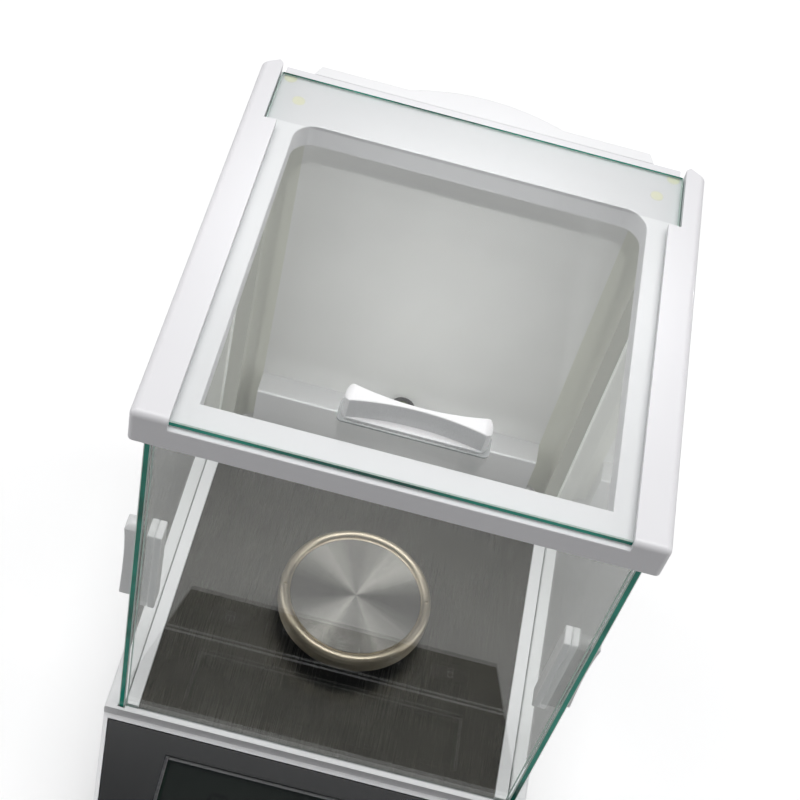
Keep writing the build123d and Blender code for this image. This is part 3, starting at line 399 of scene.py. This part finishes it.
def make_floor():
    """Plain pale floor that glows a little where the camera looks straight at it."""
    shape = bmesh.new()
    bmesh.ops.create_circle(shape, cap_ends=True, cap_tris=False, segments=96, radius=FLOOR_RADIUS)
    data = bpy.data.meshes.new("floor")
    shape.to_mesh(data)
    shape.free()
    floor = bpy.data.objects.new("floor", data)
    bpy.context.scene.collection.objects.link(floor)
    white = (1.0, 1.0, 1.0, 1.0)
    made, tree, surface = material("floor_pale", (0.72, 0.72, 0.72), 0.7, Emission_Color=white)
    broad = noise(tree, place(tree), 1.2)
    greys = ramp(tree, broad, (0.3, (0.71, 0.71, 0.712)), (0.7, (0.73, 0.73, 0.73)))
    feed(tree, greys, surface, "Base Color")
    ray = add(tree, "ShaderNodeLightPath")
    glow = maths(tree, "MULTIPLY", ray.outputs["Is Camera Ray"], FLOOR_GLOW)
    feed(tree, glow, surface, "Emission Strength")
    data.materials.append(made)


# Pieces.

def finish_piece(name, shape, body, materials):
    """Object from a bmesh, riding on a body and materials."""
    data = bpy.data.meshes.new(name)
    bmesh.ops.recalc_face_normals(shape, faces=shape.faces)
    shape.to_mesh(data)
    shape.free()
    piece = bpy.data.objects.new(name, data)
    bpy.context.scene.collection.objects.link(piece)
    for made in materials:
        data.materials.append(made)
    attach(piece, body)
    return piece


def eased_box(node, easing, segments):
    """Block that fills a CAD node's box, with every edge eased."""
    low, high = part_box(node)
    shape = bmesh.new()
    bmesh.ops.create_cube(shape, size=1.0)
    for corner in shape.verts:
        corner.co = Vector((low[i] + high[i]) / 2 + corner.co[i] * (high[i] - low[i]) for i in range(3))
    edges = list(shape.edges)
    bmesh.ops.bevel(shape, geom=edges, offset=easing, segments=segments, profile=0.5, affect="EDGES")
    return shape


def finger_bar(node, body):
    """Inner pull in place of its CAD node, rounded towards the pane too."""
    shape = eased_box(node, PULL_EASING, EASING_STEPS)
    piece = finish_piece(node + "_bar", shape, body, [LOOKS["pull_white"]])
    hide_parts(node)


def glass_pane(node, body, across, along):
    """Pane in place of its CAD node: clear faces, polished edges and ground corners."""
    shape = eased_box(node, GLASS_ARRIS, 1)
    shape.normal_update()
    for face in shape.faces:
        flat = max(abs(value) for value in face.normal) > SAME_WAY
        clear = abs(face.normal[across]) > SAME_WAY
        face.material_index = 0 if clear else 1 if flat else 2
        face.smooth = False
    materials = [LOOKS["pane_glass"], glass_edge(node + "_edge", along), LOOKS["arris"]]
    piece = finish_piece(node + "_pane", shape, body, materials)
    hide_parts(node)


def lathe(profile, centre):
    """Round bmesh about an upright axis through centre, from (radius, height) points."""
    shape = bmesh.new()
    chain = [shape.verts.new((centre.x + radius, centre.y, centre.z + height)) for radius, height in profile]
    edges = [shape.edges.new(ends) for ends in zip(chain, chain[1:])]
    bmesh.ops.spin(shape, geom=chain + edges, cent=centre, axis=(0, 0, 1), angle=2 * pi, steps=ROUND_STEPS,
                   use_merge=True)
    bmesh.ops.remove_doubles(shape, verts=list(shape.verts), dist=0.01 * MM)
    for face in shape.faces:
        face.smooth = True
    return shape


def level_bubble():
    """Round level in place of its CAD node: tinted and domed, with a ring and a bubble."""
    low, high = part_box("level_vial")
    base = Vector(((low.x + high.x) / 2, (low.y + high.y) / 2, low.z))
    radius = (high.x - low.x) / 2
    height = high.z - low.z
    body = [(0.0, 0.0), (radius, 0.0), (radius, height * 0.8), (radius * 0.9, height * 0.92),
            (radius * 0.6, height * 0.985), (0.0, height)]
    vial = finish_piece("level_cap", lathe(body, base), "balance", [LOOKS["level_clear"]])
    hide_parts("level_vial")
    top = base + Vector((0, 0, height))
    inner, outer = radius * 0.40, radius * 0.46
    sunk, proud = -0.08 * MM, 0.02 * MM
    mark = [(inner, sunk), (outer, sunk), (outer, proud), (inner, proud), (inner, sunk)]
    finish_piece("level_mark", lathe(mark, top), "balance", [LOOKS["level_black"]])
    drop = [(0.0, -0.3 * MM), (radius * 0.3, -0.05 * MM), (radius * 0.3, 0.0), (radius * 0.2, 0.05 * MM),
            (0.0, 0.08 * MM)]
    spot = top + Vector((radius * 0.08, -radius * 0.06, 0))
    finish_piece("level_drop", lathe(drop, spot), "balance", [LOOKS["bubble"]])


def slope_of(node):
    """Matrix from console coordinates, middle of the node's sloping top at zero, to the row frame."""
    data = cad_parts[node].data
    upward = [face for face in data.polygons if face.normal.z > MOSTLY_UP]
    normal = max(upward, key=lambda face: face.area).normal.copy()
    top = max(face.center.dot(normal) for face in upward if face.normal.dot(normal) > SAME_WAY)
    level = [face for face in upward if face.center.dot(normal) > top - SAME_LEVEL]
    size = sum(face.area for face in level)
    middle = sum((face.center * face.area for face in level), Vector()) / size
    up_slope = Vector((0, normal.z, -normal.y))
    return Matrix.Translation(middle) @ Matrix((Vector((1, 0, 0)), up_slope, normal)).transposed().to_4x4()


def plates(outlines, place_on, low, high):
    """Flat plates with the given outlines, between two heights over a sloping face."""
    shape = bmesh.new()
    for outline in outlines:
        floor = [shape.verts.new(place_on @ Vector((x, y, low))) for x, y in outline]
        roof = [shape.verts.new(place_on @ Vector((x, y, high))) for x, y in outline]
        shape.faces.new(roof)
        shape.faces.new(list(reversed(floor)))
        for index in range(len(outline)):
            following = (index + 1) % len(outline)
            shape.faces.new((floor[index], floor[following], roof[following], roof[index]))
    return shape


def bar(x, y, width, height):
    """Rectangle round a point."""
    return [(x - width / 2, y - height / 2), (x + width / 2, y - height / 2),
            (x + width / 2, y + height / 2), (x - width / 2, y + height / 2)]


def arc_band(radius, width, start, end):
    """Four-sided pieces of a circular band between two angles in degrees."""
    steps = 20
    outer = radius + width
    pieces = []
    for index in range(steps):
        a, b = (radians(start + (end - start) * (index + step) / steps) for step in (0, 1))
        pieces.append([(radius * cos(a), radius * sin(a)), (outer * cos(a), outer * sin(a)),
                       (outer * cos(b), outer * sin(b)), (radius * cos(b), radius * sin(b))])
    return pieces


def digit_bars(x, y, width, height, thick):
    """Seven bars of one figure, each with pointed ends."""
    bars = []
    for row in (-1, 0, 1):
        level = y + row * height / 2
        reach = width / 2 - FIGURE_GAP
        bars.append([(x - reach, level), (x - reach + thick / 2, level - thick / 2),
                     (x + reach - thick / 2, level - thick / 2), (x + reach, level),
                     (x + reach - thick / 2, level + thick / 2), (x - reach + thick / 2, level + thick / 2)])
    for side in (-1, 1):
        for half in (-1, 1):
            across = x + side * width / 2
            middle = y + half * height / 4
            reach = height / 4 - FIGURE_GAP
            bars.append([(across, middle - reach), (across + thick / 2, middle - reach + thick / 2),
                         (across + thick / 2, middle + reach - thick / 2), (across, middle + reach),
                         (across - thick / 2, middle + reach - thick / 2),
                         (across - thick / 2, middle - reach + thick / 2)])
    return bars


def display_figures():
    """Unlit figures of the display, each with its point."""
    outlines = []
    for index in range(DISPLAY_PLACES):
        x = (index - (DISPLAY_PLACES - 1) / 2) * DISPLAY_PITCH
        outlines += digit_bars(x, 0.0, FIGURE_WIDTH, FIGURE_HEIGHT, FIGURE_BAR)
        outlines.append(bar(x + DISPLAY_PITCH / 2, -POINT_DROP, POINT_SIZE, POINT_SIZE))
    shape = plates(outlines, slope_of("lcd_module"), *FIGURE_HEIGHTS)
    finish_piece("display_figures", shape, "balance", [LOOKS["figures"]])


def key_marks():
    """A generic sign on each key."""
    zero = digit_bars(0.0, 0.0, 2.6 * MM, 4.4 * MM, 0.6 * MM)
    signs = {
        "key_power": arc_band(2.3 * MM, SIGN_LINE, 125, 415) + [bar(0, 1.9 * MM, SIGN_LINE, 2.6 * MM)],
        "key_calibrate": arc_band(1.2 * MM, SIGN_LINE, 0, 360) + [bar(0, -1.9 * MM, 5.6 * MM, SIGN_LINE)],
        "key_unit": [bar(0, height, 5.0 * MM, SIGN_LINE) for height in (1.0 * MM, -1.0 * MM)],
        "key_print": [bar(0, height, 4.6 * MM, SIGN_LINE) for height in (1.8 * MM, -1.8 * MM)]
                     + [bar(across, 0, SIGN_LINE, 4.1 * MM) for across in (-2.5 * MM, 2.5 * MM)],
        "key_tare": zero[:1] + zero[2:],
    }
    for node, outlines in signs.items():
        shape = plates(outlines, slope_of(node), *SIGN_HEIGHTS)
        finish_piece(node + "_sign", shape, node, [LOOKS["sign"]])


def make_looks():
    """One material for each slot of the record, and one for each added detail."""
    pan_low, pan_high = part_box("weighing_pan")
    pan_centre = (pan_low + pan_high) / 2
    return {
        "white_abs": moulded("white_abs", (0.86, 0.86, 0.87), 0.42, 2200.0, 0.006 * MM, 0.985),
        "post_beige": moulded("post_beige", (0.78, 0.785, 0.70), 0.34, 2200.0, 0.004 * MM, 0.985),
        "frame_white": moulded("frame_white", (0.80, 0.795, 0.815), 0.34, 2200.0, 0.003 * MM, 0.985),
        "pull_white": moulded("pull_white", (0.86, 0.86, 0.865), 0.26, 2600.0, 0.002 * MM, 0.985),
        "wall_gloss": glossy_panel("wall_gloss", (0.9, 0.9, 0.885), 0.05, 0.01 * MM),
        "console_black": glossy_panel("console_black", (0.014, 0.015, 0.016), 0.2, Coat_Weight=0.2),
        "display_glass": glossy_panel("display_glass", (0.012, 0.016, 0.016), 0.05, Alpha=0.45),
        "lcd": glossy_panel("lcd", (0.1, 0.12, 0.1), 0.22),
        "figures": moulded("figures", (0.035, 0.042, 0.036), 0.3),
        "sign": moulded("sign", (0.62, 0.63, 0.64), 0.45),
        "arris": ground_arris("arris"),
        "bubble": glossy_panel("bubble", (0.45, 0.55, 0.2), 0.03, Coat_Weight=1.0),
        "board_green": circuit_board("board_green"),
        "key_black": moulded("key_black", (0.022, 0.023, 0.025), 0.42, 1600.0, 0.01 * MM),
        "level_black": moulded("level_black", (0.012, 0.012, 0.013), 0.35),
        "level_clear": glossy_panel("level_clear", (0.11, 0.15, 0.035), 0.05, Coat_Weight=1.0),
        "clear_pad": glossy_panel("clear_pad", (0.78, 0.8, 0.8), 0.12, Transmission_Weight=0.55),
        "dot_rubber": moulded("dot_rubber", (0.84, 0.83, 0.66), 0.3),
        "runner_plastic": moulded("runner_plastic", (0.6, 0.6, 0.58), 0.3),
        "floor_steel": brushed("floor_steel", (0.126, 0.121, 0.107), 0.26, (5200.0, 26.0, 5200.0),
                               0.001 * MM),
        "pan_steel": turned_steel("pan_steel", (0.252, 0.245, 0.23), (0.41, 0.36, 0.28), 0.26, pan_centre),
        "plate_cast": cast_metal("plate_cast", (0.5, 0.51, 0.52), 0.5),
        "cell_cast": cast_metal("cell_cast", (0.62, 0.62, 0.62), 0.38),
        "pot_iron": cast_metal("pot_iron", (0.2, 0.2, 0.21), 0.4),
        "copper": wound("copper", (0.72, 0.3, 0.14), 0.25 * MM, 2),
        "sensor_black": moulded("sensor_black", (0.018, 0.018, 0.02), 0.4),
        "brass": brushed("brass", (0.72, 0.53, 0.24), 0.28, (800.0, 800.0, 90.0), spread_along=(0, 0, 1)),
        "zinc_steel": brushed("zinc_steel", (0.62, 0.63, 0.65), 0.3, (900.0, 900.0, 120.0),
                              spread_along=(0, 0, 1)),
        "shield_sheet": brushed("shield_sheet", (0.6, 0.61, 0.62), 0.34, (60.0, 900.0, 900.0),
                                spread_along=(0, 1, 0)),
        "core_iron": wound("core_iron", (0.16, 0.15, 0.14), 0.5 * MM, 0),
        "cable_grey": wound("cable_grey", (0.45, 0.45, 0.46), 1.27 * MM, 0),
        "foot_rubber": rubber("foot_rubber", (0.03, 0.03, 0.031)),
        "pane_glass": clear_glass("pane_glass"),
    }


def dress_nodes():
    """Give every CAD node the material of its slot."""
    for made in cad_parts.values():
        for slot in made.material_slots:
            slot.material = LOOKS[slot.material.name.split(".")[0]]


make_camera()
make_light()
make_floor()
LOOKS = make_looks()
dress_nodes()
glass_pane("front_glass", "balance", 1, 0)
glass_pane("left_door_glass", "left_door", 0, 2)
glass_pane("right_door_glass", "right_door", 0, 2)
glass_pane("top_door_glass", "top_door", 2, 0)
finger_bar("left_inner_pull", "left_door")
finger_bar("right_inner_pull", "right_door")
level_bubble()
display_figures()
key_marks()
